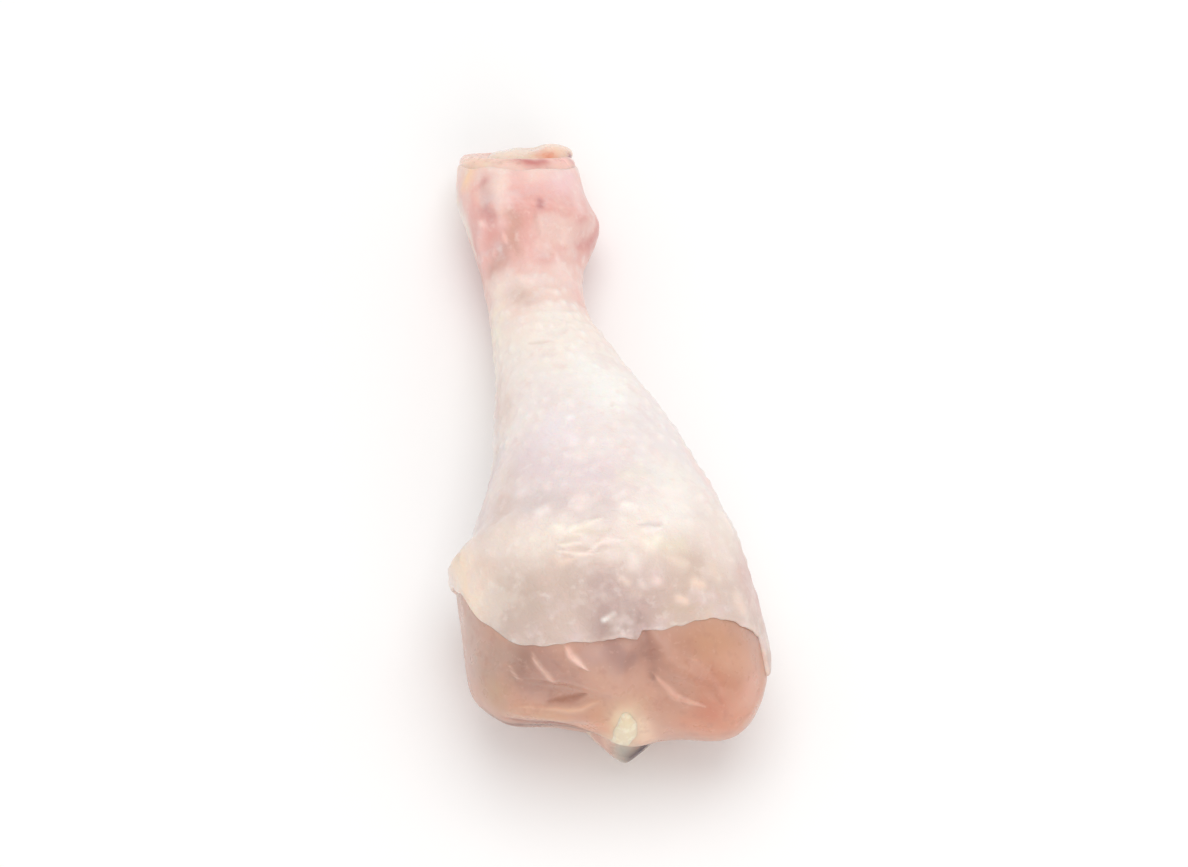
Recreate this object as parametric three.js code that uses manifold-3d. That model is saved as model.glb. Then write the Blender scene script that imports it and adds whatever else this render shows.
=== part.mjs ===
// A raw chicken drumstick: its skin, its muscle, the shin bone with a cartilage end at the knee and at the
// ankle, and the stump of the ligament over the knee end. Millimetres, +Z up. It lies on its shin side with
// the calf up. +Y runs from the knee to the ankle, and the origin is on the surface that it lies on, under
// the middle of its length and width.
//
// "Along" is the distance from the knee's tip towards the ankle. "Angle" goes round the leg, from +X over
// the top (+Z). Every layer is the same leg form, sunk below its surface by that layer's depth.
import * as THREE from "three";
import { ParametricGeometry } from "three/addons/geometries/ParametricGeometry.js";
import { mergeVertices } from "three/addons/utils/BufferGeometryUtils.js";
import Module from "manifold-3d";

const wasm = await Module();
wasm.setup();

// ---- Driving dimensions ----
const SKIN_THICKNESS = 1.2;
const LAYER_GAP = 0.4; // between two layers that touch
const MUSCLE_DEPTH = SKIN_THICKNESS + LAYER_GAP;

// Where the middle of the finished leg's box lies: along it from the knee's tip, and to the right
const MIDDLE = { right: -1.7, along: 66.0 };

// The leg's sections, each at a distance along: how far it reaches to the left and right, the heights of its
// top and underside, and how high up it is widest, as a share of its height. An underside below zero is
// pressed flat by the table.
const SECTIONS = [
  { name: "knee face", at: 0, left: -28.0, right: 26.5, top: 37.5, under: 2.0, widest: 0.5 },
  { name: "knee rim", at: 12, left: -30.2, right: 26.9, top: 41.0, under: 0.2, widest: 0.47 },
  { name: "belly", at: 24, left: -30.4, right: 26.5, top: 44.5, under: -0.8, widest: 0.445 },
  { name: "behind the belly", at: 34, left: -29.8, right: 25.2, top: 45.3, under: -1.0, widest: 0.45 },
  { name: "flap's shelf", at: 38.6, left: -29.0, right: 24.3, top: 44.9, under: -0.9, widest: 0.45 },
  { name: "behind the shelf", at: 41, left: -26.0, right: 23.7, top: 44.3, under: -0.9, widest: 0.45 },
  { name: "calf", at: 46, left: -24.0, right: 22.3, top: 42.6, under: -0.6, widest: 0.45 },
  { name: "upper calf", at: 56, left: -19.5, right: 18.6, top: 39.6, under: -0.2, widest: 0.46 },
  { name: "taper", at: 68, left: -16.6, right: 13.7, top: 34.2, under: 1.0, widest: 0.47 },
  { name: "neck", at: 80, left: -14.6, right: 8.4, top: 28.0, under: 2.4, widest: 0.48 },
  { name: "above the waist", at: 92, left: -13.7, right: 4.8, top: 22.2, under: 3.2, widest: 0.5 },
  { name: "waist", at: 101, left: -13.8, right: 5.8, top: 20.6, under: 2.4, widest: 0.5 },
  { name: "ankle knuckle", at: 110, left: -15.2, right: 10.3, top: 22.8, under: 0.4, widest: 0.5 },
  { name: "ankle joint", at: 118, left: -16.2, right: 8.9, top: 24.4, under: -0.5, widest: 0.5 },
  { name: "ankle end", at: 130, left: -14.2, right: 7.4, top: 21.5, under: 2.5, widest: 0.52 },
];
const SECTION_SQUARENESS = 2.15; // 2 is an ellipse

// The knee end is a dome of muscle, and the ankle end a short one of tissue where the joint was cut through
const KNEE_DOME = { tip: 3, length: 13, squareness: 2.5 };
const ANKLE_DOME = { tip: 130.4, length: 3.8, squareness: 2.2 };

// The knee face is turned: mm along for each mm to the right
const KNEE_TURN = -0.09;
const KNEE_TURN_FADES = [8, 40]; // along

// The ankle's cut is slanted: mm along for each mm to the right and for each mm up, about a point of the cut
const ANKLE_SLANT = { right: -0.16, up: -0.6 };
const ANKLE_SLANT_MIDDLE = { right: -3.5, up: 11 };
const ANKLE_SLANT_FADES = [104, 122]; // along

// Lobes (standing out) and folds (sunk in) of the knee's bare muscle, in the knee face's width and height
const KNEE_RELIEF = [
  { name: "right calf lobe", right: 18, up: 20, halfWidth: 11, halfHeight: 16, out: 5.4 },
  { name: "left lobe's corner", right: -25, up: 18, halfWidth: 7, halfHeight: 12, out: 1.9 },
  { name: "middle ridge", right: -4, up: 34, halfWidth: 5, halfHeight: 7, out: 1.4 },
  { name: "fold beside the right lobe", right: 2.8, up: 36.5, halfWidth: 2.8, halfHeight: 5.5, out: -2.0 },
  { name: "fold's lower end", right: 6.6, up: 32, halfWidth: 4, halfHeight: 3, out: -1.4 },
  { name: "hollow over the lip", right: -14.5, up: 30.4, halfWidth: 8, halfHeight: 2.2, out: -1.8 },
  { name: "lip", right: -13, up: 25.4, halfWidth: 12, halfHeight: 3.4, out: 1.4 },
  { name: "undercut below the lip", right: -13, up: 11, halfWidth: 9, halfHeight: 6, out: -1.5 },
  { name: "swelling over the crest", right: -1.6, up: 17, halfWidth: 7, halfHeight: 8, out: 3.4 },
];
const KNEE_RELIEF_FADES = [7, 22]; // along

// The skin's cut edge at the knee: how far along it lies at each angle round the leg, in degrees
const KNEE_CUT = [
  { name: "right side", at: 0, along: 15.2 },
  { name: "right side's corner", at: 12, along: 12.2 },
  { name: "over the right lobe", at: 24, along: 16.8 },
  { name: "right shoulder", at: 42, along: 17 },
  { name: "right of the top", at: 62, along: 14.9 },
  { name: "top", at: 84, along: 12.5 },
  { name: "left of the top", at: 112, along: 12.8 },
  { name: "left shoulder", at: 134, along: 14.2 },
  { name: "left flap", at: 152, along: 23.5 },
  { name: "left side", at: 166, along: 32 },
  { name: "left underside", at: 200, along: 37 },
  { name: "underside", at: 262, along: 29 },
  { name: "right underside", at: 318, along: 22 },
  { name: "right side, below", at: 344, along: 18.6 },
];
const SKIN_ANKLE_END = 126.2; // along
const EDGE_LIFT = 0.3; // how far the cut edge stands off the muscle
const EDGE_LIFT_LENGTH = 5;

// The shin bone, with its cartilage: where its middle is, and its half-width and half-height
const BONE_SECTIONS = [
  { name: "crest", at: 0, right: -2.4, up: 8.4, halfWidth: 4.2, halfHeight: 4.6 },
  { name: "crest's root", at: 4.5, right: -0.9, up: 10.4, halfWidth: 5.9, halfHeight: 6.2 },
  { name: "knee head", at: 10, right: -1.0, up: 12.6, halfWidth: 9.4, halfHeight: 8.2 },
  { name: "below the head", at: 17, right: -0.8, up: 14.0, halfWidth: 7.4, halfHeight: 7.0 },
  { name: "upper shaft", at: 30, right: -1.2, up: 15.0, halfWidth: 4.2, halfHeight: 4.6 },
  { name: "shaft", at: 60, right: -2.2, up: 15.2, halfWidth: 3.5, halfHeight: 3.8 },
  { name: "lower shaft", at: 95, right: -4.3, up: 12.4, halfWidth: 3.4, halfHeight: 3.4 },
  { name: "above the ankle", at: 110, right: -3.6, up: 11.6, halfWidth: 5.6, halfHeight: 4.8 },
  { name: "ankle head", at: 122, right: -1.6, up: 11.4, halfWidth: 8.0, halfHeight: 6.6 },
  { name: "inside the skin's end", at: 124.2, right: -1.5, up: 11.3, halfWidth: 7.9, halfHeight: 6.5 },
  { name: "past the skin's end", at: 126, right: -1.0, up: 11.2, halfWidth: 8.5, halfHeight: 6.4 },
  { name: "ankle end", at: 130, right: -0.6, up: 11.0, halfWidth: 8.8, halfHeight: 6.2 },
];
const BONE_KNEE_DOME = { tip: 0.9, length: 5, squareness: 1.5 };
const BONE_ANKLE_DOME = { tip: 128.8, length: 4, squareness: 3.5 };

// The two knuckles of cartilage at the ankle and the bridge between them, and how far each stands out of the
// bone's end
const ANKLE_KNUCKLES = [
  { name: "outer knuckle", right: 6.2, halfWidth: 4.6, out: 2.0 },
  { name: "bridge", right: -0.5, halfWidth: 3.4, out: 0.7 },
  { name: "inner knuckle", right: -6.0, halfWidth: 3.4, out: 0.5 },
];
const KNUCKLE_FLATNESS = 4; // 2 is a bell curve, and more has a flatter top

// The ligament's stump, an upright pad over the bone's crest
const LIGAMENT_MIDDLE = { right: -1.9, along: 3.4, up: 21.0 };
const LIGAMENT_HALF = { width: 3.0, depth: 2.8, height: 7.2 };

// Facets
const LEG_COLUMNS = 54;
const SKIN_ROWS = { outer: 28, inner: 22 };
const MUSCLE_ROWS = { knee: 12, body: 22, ankle: 3 };
const BONE_COLUMNS = 24;
const BONE_ROWS = { knee: 6, body: 18, ankle: 6 };
const LIGAMENT_COLUMNS = 16;
const LIGAMENT_ROWS = 12;
const MERGE_DISTANCE = 1e-4;
const SLOPE_STEP = 0.02; // the step that measures a slope, in mm along and in radians round

// ---- Curves ----

// A smooth curve through stations, read at one place. At each station it has the slope of its neighbours,
// the nearer one counting more.
function curveThrough(stations, key, at) {
  const last = stations.length - 1;
  const rise = (from, to) => (to[key] - from[key]) / (to.at - from.at);
  const slopeAt = (index) => {
    if (index === 0 || index === last) {
      const first = Math.min(index, last - 1);
      return rise(stations[first], stations[first + 1]);
    }
    const [before, here, after] = stations.slice(index - 1, index + 2);
    const weighted = rise(before, here) * (after.at - here.at) + rise(here, after) * (here.at - before.at);
    return weighted / (after.at - before.at);
  };
  const passed = stations.filter((station) => station.at <= at).length;
  const index = THREE.MathUtils.clamp(passed - 1, 0, last - 1);
  const from = stations[index];
  const to = stations[index + 1];
  const span = to.at - from.at;
  const t = (at - from.at) / span;
  return (1 + 2 * t) * (1 - t) ** 2 * from[key] + t * (1 - t) ** 2 * span * slopeAt(index)
    + t * t * (3 - 2 * t) * to[key] + t * t * (t - 1) * span * slopeAt(index + 1);
}

// The same stations repeated a turn before and after, so that a curve through them closes
function aroundTheLeg(stations) {
  const turned = (degrees) => stations.map((station) => ({ ...station, at: station.at + degrees }));
  return [...turned(-360), ...stations, ...turned(360)];
}

// 0 before the first of two limits, 1 after the second, and smooth between them
function fade([from, to], at) {
  return THREE.MathUtils.smoothstep(at, from, to);
}

// The share of its full width that a dome has at a distance from its tip, on a superellipse
function domeShare(distance, { length, squareness }) {
  const left = THREE.MathUtils.clamp(1 - distance / length, 0, 1);
  return (1 - left ** squareness) ** (1 / squareness);
}

// The distance from a dome's tip after a share of its rows, which are closer together near the tip
function domeDistance(share, { length, squareness }) {
  return length * (1 - Math.cos((share * Math.PI) / 2) ** (2 / squareness));
}

// The distances along of the rows of a form with a dome at each end
function domedRows(kneeDome, ankleDome, counts) {
  const bodyStart = kneeDome.tip + kneeDome.length;
  const bodyEnd = ankleDome.tip - ankleDome.length;
  const rows = [];
  for (let row = 0; row < counts.knee; row += 1) {
    rows.push(kneeDome.tip + domeDistance(row / counts.knee, kneeDome));
  }
  for (let row = 0; row < counts.body; row += 1) {
    rows.push(bodyStart + ((bodyEnd - bodyStart) * row) / counts.body);
  }
  for (let row = counts.ankle; row >= 0; row -= 1) {
    rows.push(ankleDome.tip - domeDistance(row / counts.ankle, ankleDome));
  }
  return rows;
}

// The radius of a superellipse in one direction
function superellipseRadius(cosine, sine, halfWidth, halfHeight, squareness) {
  const sum = Math.abs(cosine / halfWidth) ** squareness + Math.abs(sine / halfHeight) ** squareness;
  return sum ** (-1 / squareness);
}

// ---- The leg's form ----

// How far the knee's lobes and folds stand out towards the knee
function kneeRelief(right, up) {
  let out = 0;
  for (const lobe of KNEE_RELIEF) {
    const across = (right - lobe.right) / lobe.halfWidth;
    const upward = (up - lobe.up) / lobe.halfHeight;
    out += lobe.out * Math.exp(-across * across - upward * upward);
  }
  return out;
}

// How far the slanted cut moves a point of the ankle along
function ankleSlant(along, right, up) {
  const slant = ANKLE_SLANT.right * (right - ANKLE_SLANT_MIDDLE.right)
    + ANKLE_SLANT.up * (up - ANKLE_SLANT_MIDDLE.up);
  return slant * fade(ANKLE_SLANT_FADES, along);
}

// A point of the leg's outer form
function legPoint(angle, along) {
  const [left, right, top, under, widest] = ["left", "right", "top", "under", "widest"].map(
    (key) => curveThrough(SECTIONS, key, along),
  );
  const waistline = under + (top - under) * widest;
  const cosine = Math.cos(angle);
  const sine = Math.sin(angle);
  const halfHeight = sine > 0 ? top - waistline : waistline - under;
  const radius = superellipseRadius(cosine, sine, (right - left) / 2, halfHeight, SECTION_SQUARENESS)
    * domeShare(along - KNEE_DOME.tip, KNEE_DOME)
    * domeShare(ANKLE_DOME.tip - along, ANKLE_DOME);
  const x = (left + right) / 2 + radius * cosine;
  const z = waistline + radius * sine;
  const turn = KNEE_TURN * x * (1 - fade(KNEE_TURN_FADES, along));
  const relief = kneeRelief(x, z) * (1 - fade(KNEE_RELIEF_FADES, along));
  return new THREE.Vector3(x, along + turn - relief + ankleSlant(along, x, z), z);
}

// The outward direction at a point of the leg's form
function legNormal(angle, along) {
  if (along <= KNEE_DOME.tip) {
    return new THREE.Vector3(0, -1, 0);
  }
  if (along >= ANKLE_DOME.tip) {
    return new THREE.Vector3(-ANKLE_SLANT.right, 1, -ANKLE_SLANT.up).normalize();
  }
  const lengthwise = legPoint(angle, along + SLOPE_STEP).sub(legPoint(angle, along - SLOPE_STEP));
  const round = legPoint(angle + SLOPE_STEP, along).sub(legPoint(angle - SLOPE_STEP, along));
  return lengthwise.cross(round).normalize();
}

// A point of the layer at a depth below the leg's form, no lower than the floor given
function layerPoint(angle, along, depth, floor) {
  const point = legPoint(angle, along).addScaledVector(legNormal(angle, along), -depth);
  point.z = Math.max(point.z, floor);
  return point;
}

// ---- Meshes and solids ----

// A closed mesh from a surface of an angle, which goes once round, and a row number from 0 to rows. The
// angle runs backwards, which turns the faces outward. A row that shrinks to a point leaves flat triangles,
// and they are dropped.
function closedSurface(pointAt, columns, rows) {
  const middle = new THREE.Vector3(MIDDLE.right, MIDDLE.along, 0);
  const place = (u, v, target) => {
    const angle = 2 * Math.PI * (1 - (u % 1));
    target.copy(pointAt(angle, Math.round(v * rows))).sub(middle);
  };
  const surface = new ParametricGeometry(place, columns, rows);
  surface.deleteAttribute("normal");
  surface.deleteAttribute("uv");
  const merged = mergeVertices(surface, MERGE_DISTANCE);
  const corners = merged.index.array;
  const kept = [];
  for (let first = 0; first < corners.length; first += 3) {
    const [a, b, c] = corners.slice(first, first + 3);
    if (a !== b && b !== c && c !== a) {
      kept.push(a, b, c);
    }
  }
  merged.setIndex(kept);
  return merged;
}

function toSolid(geometry) {
  const vertProperties = geometry.attributes.position.array;
  const triVerts = Uint32Array.from(geometry.index.array);
  return new wasm.Manifold(new wasm.Mesh({ numProp: 3, vertProperties, triVerts }));
}

function toGeometry(solid) {
  const mesh = solid.getMesh();
  const geometry = new THREE.BufferGeometry();
  geometry.setAttribute("position", new THREE.BufferAttribute(mesh.vertProperties, 3));
  geometry.setIndex(new THREE.BufferAttribute(mesh.triVerts, 1));
  return geometry;
}

function namedMesh(name, geometry, color, roughness) {
  const material = new THREE.MeshStandardMaterial({ color, roughness, metalness: 0 });
  const mesh = new THREE.Mesh(geometry, material);
  mesh.name = name;
  return mesh;
}

// ---- Skin ----

// A tube open at both ends: along its outer face from the knee's cut to the ankle's, and back along its
// inner face. At the knee its edge stands a little off the muscle.
function skinGeometry() {
  const cutStations = aroundTheLeg(KNEE_CUT);
  const rows = SKIN_ROWS.outer + SKIN_ROWS.inner + 2;
  const pointAt = (angle, row) => {
    const outside = row <= SKIN_ROWS.outer || row === rows;
    const backRow = row - SKIN_ROWS.outer - 1;
    const share = outside ? (row % rows) / SKIN_ROWS.outer : 1 - backRow / SKIN_ROWS.inner;
    const cut = curveThrough(cutStations, "along", THREE.MathUtils.radToDeg(angle));
    const along = cut + (SKIN_ANKLE_END - cut) * share;
    const lift = EDGE_LIFT * (1 - fade([0, EDGE_LIFT_LENGTH], along - cut));
    const depth = outside ? 0 : SKIN_THICKNESS;
    return layerPoint(angle, along, depth - lift, depth);
  };
  return closedSurface(pointAt, LEG_COLUMNS, rows);
}

// ---- Muscle ----

function muscleGeometry() {
  const rows = domedRows(KNEE_DOME, ANKLE_DOME, MUSCLE_ROWS);
  const pointAt = (angle, row) => layerPoint(angle, rows[row], MUSCLE_DEPTH, MUSCLE_DEPTH);
  return closedSurface(pointAt, LEG_COLUMNS, rows.length - 1);
}

// ---- Bone ----

// How far the knuckles stand out of the bone's ankle end
function ankleKnuckles(right) {
  let out = 0;
  for (const knuckle of ANKLE_KNUCKLES) {
    const across = Math.abs(right - knuckle.right) / knuckle.halfWidth;
    out += knuckle.out * Math.exp(-(across ** KNUCKLE_FLATNESS));
  }
  return out;
}

// The bone, or with a clearance the room that it needs in the muscle
function boneGeometry(clearance) {
  const kneeDome = { ...BONE_KNEE_DOME, tip: BONE_KNEE_DOME.tip - clearance };
  const ankleDome = { ...BONE_ANKLE_DOME, tip: BONE_ANKLE_DOME.tip + clearance };
  const rows = domedRows(kneeDome, ankleDome, BONE_ROWS);
  const pointAt = (angle, row) => {
    const along = rows[row];
    const [right, up, halfWidth, halfHeight] = ["right", "up", "halfWidth", "halfHeight"].map(
      (key) => curveThrough(BONE_SECTIONS, key, along),
    );
    const cosine = Math.cos(angle);
    const sine = Math.sin(angle);
    const radius = (superellipseRadius(cosine, sine, halfWidth, halfHeight, 2) + clearance)
      * domeShare(along - kneeDome.tip, kneeDome)
      * domeShare(ankleDome.tip - along, ankleDome);
    const x = right + radius * cosine;
    const z = up + radius * sine;
    const knuckles = ankleKnuckles(x) * fade(ANKLE_SLANT_FADES, along);
    return new THREE.Vector3(x, along + knuckles + ankleSlant(along, x, z), z);
  };
  return closedSurface(pointAt, BONE_COLUMNS, rows.length - 1);
}

// ---- Ligament ----

// The ligament's pad, or with a clearance the room that it needs in the muscle
function ligamentGeometry(clearance) {
  const middle = new THREE.Vector3(LIGAMENT_MIDDLE.right, LIGAMENT_MIDDLE.along, LIGAMENT_MIDDLE.up);
  const pointAt = (angle, row) => {
    const fromKnee = (Math.PI * row) / LIGAMENT_ROWS;
    const ring = Math.sin(fromKnee);
    const x = (LIGAMENT_HALF.width + clearance) * ring * Math.cos(angle);
    const y = -(LIGAMENT_HALF.depth + clearance) * Math.cos(fromKnee);
    const z = (LIGAMENT_HALF.height + clearance) * ring * Math.sin(angle);
    return new THREE.Vector3(x, y, z).add(middle);
  };
  return closedSurface(pointAt, LIGAMENT_COLUMNS, LIGAMENT_ROWS);
}

// ---- Assembly ----

const bone = toSolid(boneGeometry(0));
const boneRoom = toSolid(boneGeometry(LAYER_GAP));
const ligamentRoom = toSolid(ligamentGeometry(LAYER_GAP));
const ligament = toSolid(ligamentGeometry(0)).subtract(boneRoom);
const muscle = toSolid(muscleGeometry()).subtract(boneRoom).subtract(ligamentRoom);

const drumstick = new THREE.Group();
drumstick.add(namedMesh("skin", skinGeometry(), "#ecdcd6", 0.38));
drumstick.add(namedMesh("muscle", toGeometry(muscle), "#cf9f8b", 0.34));
drumstick.add(namedMesh("bone", toGeometry(bone), "#d9cbbb", 0.3));
drumstick.add(namedMesh("ligament", toGeometry(ligament), "#e9dfbd", 0.32));
export default drumstick;
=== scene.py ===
import itertools
import math

import bpy
import numpy as np
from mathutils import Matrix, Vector


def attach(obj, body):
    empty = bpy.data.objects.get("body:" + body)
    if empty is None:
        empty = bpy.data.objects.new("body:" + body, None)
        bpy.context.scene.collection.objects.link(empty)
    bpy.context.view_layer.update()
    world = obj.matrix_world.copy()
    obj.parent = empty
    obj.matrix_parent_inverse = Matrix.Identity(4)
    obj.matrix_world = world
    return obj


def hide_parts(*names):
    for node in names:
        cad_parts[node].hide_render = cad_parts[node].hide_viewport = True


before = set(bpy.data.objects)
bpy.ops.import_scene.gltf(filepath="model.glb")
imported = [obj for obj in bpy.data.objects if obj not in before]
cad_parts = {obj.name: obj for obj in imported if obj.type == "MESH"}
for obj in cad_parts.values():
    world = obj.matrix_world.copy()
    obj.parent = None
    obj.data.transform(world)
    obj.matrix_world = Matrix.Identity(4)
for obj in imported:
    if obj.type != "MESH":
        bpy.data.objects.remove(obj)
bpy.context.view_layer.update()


# ---- Shin bone ----
# The tibia runs the whole leg inside the muscle. What shows is its cartilage: the grey tip of the crest
# under the knee, and two cream knuckles with a bridge between them in the cut ankle. It is lofted through
# ovals along its middle line, with a dome at each end.

# Sizes are in millimetres, and make_piece turns them into metres. "Right" and "up" are as seen from the
# knee, "along" runs from the knee's tip to the ankle, and "angle" goes round the leg from the right over
# the top. A point is (right, along, up), and the model's own origin is at this one:
LEG_MIDDLE = np.array([-1.7, 66.0, 0.0])
MM_PER_METRE = 1000

BONE_SECTIONS = np.array([
    # along, right, up, half-width, half-height
    [0, -2.4, 8.4, 4.2, 4.6],  # crest
    [4.5, -0.9, 10.4, 5.9, 6.2],  # crest's root
    [10, -1.0, 12.6, 9.4, 8.2],  # knee head
    [17, -0.8, 14.0, 7.4, 7.0],
    [30, -1.2, 15.0, 4.2, 4.6],
    [60, -2.2, 15.2, 3.5, 3.8],  # shaft
    [95, -4.3, 12.4, 3.4, 3.4],
    [110, -3.6, 11.6, 5.6, 4.8],
    [122, -1.6, 11.4, 8.0, 6.6],  # ankle head
    [124.2, -1.5, 11.3, 7.9, 6.5],
    [126, -1.0, 11.2, 8.5, 6.4],  # end, past the skin
    [130, -0.6, 11.0, 8.8, 6.2],
])
BONE_KNEE_DOME = {"tip": 0.9, "length": 5, "squareness": 1.5}
BONE_ANKLE_DOME = {"tip": 128.8, "length": 4, "squareness": 3.5}
BONE_ROWS = {"knee": 30, "body": 60, "ankle": 30}
BONE_COLUMNS = 96
BONE_WAVES = {"size": 2.6, "distance": 0.14, "seed": 11}

# The outer knuckle of cartilage at the ankle, the bridge and the inner knuckle: right, half-width, and how
# far each stands out of the bone's end
ANKLE_KNUCKLES = [(6.2, 4.6, 2.0), (-0.5, 3.4, 0.7), (-6.0, 3.4, 0.5)]
KNUCKLE_FLATNESS = 4  # 2 is a bell curve, and more has a flatter top

# The cut through the ankle is slanted: mm along for each mm to the right and up, about a point of the cut
ANKLE_SLANT_RIGHT, ANKLE_SLANT_UP = -0.16, -0.6
ANKLE_SLANT_MIDDLE = {"right": -3.5, "up": 11}
ANKLE_SLANT_FADES = (104, 122)

CARTILAGE_TINT = (226, 205, 184)
CARTILAGE_SPOTS = [
    # where, reach, colour, cover
    ([(-6.0, 5.5, 13.0), (-5.2, 3.4, 10.0)], 3.4, (206, 156, 140), 0.95),  # crest's left side: pink gristle
    ([(-2.4, 1.2, 7.6), (-2.6, 2.4, 12.0)], 2.0, (182, 176, 166), 0.9),  # grey tip
    # The next spot is painted shade: the shadowed right flank of the crest's tip and the dark shadow beside
    # it.
    ([(-0.3, 1.7, 9.6), (1.2, 2.3, 10.6), (3.4, 3.6, 11.2)], 2.2, (76, 54, 62), 1),  # purple-grey beside it
    ([(5.0, 128.4, 13.0), (4.0, 126.6, 16.0)], 5.0, (248, 208, 184), 0.95),  # outer knuckle
    ([(1.2, 125.0, 17.2), (2.4, 123.8, 17.2)], 2.0, (232, 148, 118), 0.88),  # its blood-stained edge
    ([(7.0, 124.4, 13.4)], 1.2, (140, 34, 84), 1),  # clot at its foot
    ([(-7.0, 128.0, 11.0), (-5.0, 126.0, 15.0)], 3.6, (248, 222, 206), 0.85),  # inner knuckle
    ([(-0.6, 128.0, 9.0), (-0.6, 126.0, 13.0)], 2.0, (238, 196, 180), 0.7),  # bridge between them
]


def curve_through(stations, values, at):
    """A smooth curve through values at stations, read at any places. Between stations it is a cubic, and
    at each one it has the slope of its two neighbours, the nearer one counting more."""
    gaps = np.diff(stations)
    rises = np.diff(values) / gaps
    slopes = np.empty(len(stations))
    slopes[[0, -1]] = rises[[0, -1]]
    slopes[1:-1] = (rises[:-1] * gaps[1:] + rises[1:] * gaps[:-1]) / (gaps[1:] + gaps[:-1])
    first = np.clip(np.searchsorted(stations, at, side="right") - 1, 0, len(gaps) - 1)
    gap = gaps[first]
    t = (at - stations[first]) / gap
    return ((1 + 2 * t) * (1 - t) ** 2 * values[first] + t * (1 - t) ** 2 * gap * slopes[first]
            + t * t * (3 - 2 * t) * values[first + 1] + t * t * (t - 1) * gap * slopes[first + 1])


def fade(start, end, at):
    """0 before start, 1 after end, and an S-curve between them."""
    t = np.clip((at - start) / (end - start), 0, 1)
    return t * t * (3 - 2 * t)


def dome_share(distance, dome):
    """The share of its full width that a dome has at a distance from its tip: a superellipse's quarter."""
    left = np.clip(1 - distance / dome["length"], 0, 1)
    return (1 - left ** dome["squareness"]) ** (1 / dome["squareness"])


def domed_rows(knee_dome, ankle_dome, rows):
    """Distances along of rows: evenly spaced by angle over each dome, and evenly along between them."""
    def distances(dome, count):
        turn = np.linspace(0, np.pi / 2, count, endpoint=False)
        return dome["length"] * (1 - np.cos(turn) ** (2 / dome["squareness"]))

    start = knee_dome["tip"] + knee_dome["length"]
    end = ankle_dome["tip"] - ankle_dome["length"]
    return np.concatenate([
        knee_dome["tip"] + distances(knee_dome, rows["knee"]),
        np.linspace(start, end, rows["body"]),
        (ankle_dome["tip"] - distances(ankle_dome, rows["ankle"]))[::-1],
    ])


def superellipse_radius(angle, half_width, half_height, squareness):
    """How far out a superellipse reaches in a direction: 2 is an ellipse, and more is squarer."""
    across = np.abs(np.cos(angle) / half_width) ** squareness
    upward = np.abs(np.sin(angle) / half_height) ** squareness
    return (across + upward) ** (-1 / squareness)


def ankle_slant(along, right, up):
    """How far the slanted cut moves a point along: a plane's height, faded in before the cut."""
    slant = (ANKLE_SLANT_RIGHT * (right - ANKLE_SLANT_MIDDLE["right"])
             + ANKLE_SLANT_UP * (up - ANKLE_SLANT_MIDDLE["up"]))
    return slant * fade(*ANKLE_SLANT_FADES, along)


NOISE_LATTICE = 32  # places to a side, after which the noise repeats


def noise(points, size, seed):
    """Smooth noise from -1 to 1 with lumps of one size: random values on a cubic lattice, blended between
    each point's eight nearest by S-curves."""
    lattice = np.random.default_rng(seed).uniform(-1, 1, (NOISE_LATTICE,) * 3)
    cell = points / size
    low = np.floor(cell).astype(int)
    t = cell - low
    t = t * t * (3 - 2 * t)
    value = np.zeros(points.shape[:-1])
    for corner in itertools.product((0, 1), repeat=3):
        weight = np.prod(np.where(corner, t, 1 - t), axis=-1)
        i, j, k = np.moveaxis((low + corner) % NOISE_LATTICE, -1, 0)
        value += weight * lattice[i, j, k]
    return value


TAPER_TIP = 0.12  # how wide a tapered path is at its tips, as a share of its middle
NO_LENGTH = 1e-9  # stands in for the length of a path of one point


def nearness(points, path, half_width, tapered=False):
    """How near points lie to a path: a bell curve of the distance to its nearest stretch, 1 on the path.
    A path of one point is a round spot. A tapered path thins out towards both ends."""
    path = np.array(path, float)
    starts, ends = (path, path) if len(path) == 1 else (path[:-1], path[1:])
    nearest = np.full(points.shape[:-1], np.inf)
    for number, (start, end) in enumerate(zip(starts, ends)):
        way = end - start
        share = np.clip((points - start) @ way / max(way @ way, NO_LENGTH), 0, 1)
        gap = ((points - start - share[..., None] * way) ** 2).sum(-1)
        if tapered:
            travelled = (number + share) / len(starts)
            gap = gap / (TAPER_TIP + (1 - TAPER_TIP) * np.sin(np.pi * travelled)) ** 2
        nearest = np.minimum(nearest, gap)
    return np.exp(-nearest / half_width**2)


def wandered(points, size, distance, seed):
    """Points moved a little by noise, so that what is drawn by them has uneven outlines."""
    return points + distance * np.stack([noise(points, size, seed + step) for step in range(3)], axis=-1)


def linear(colour):
    """A colour given as screen values up to 255, as linear light."""
    value = np.asarray(colour, float) / 255
    return np.where(value <= 0.04045, value / 12.92, ((value + 0.055) / 1.055) ** 2.4)


def laid_over(tint, colour, cover):
    """The tint with another colour laid over it, as much as cover says at each point."""
    cover = np.asarray(cover)[..., None]
    return tint * (1 - cover) + linear(colour) * cover


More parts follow.
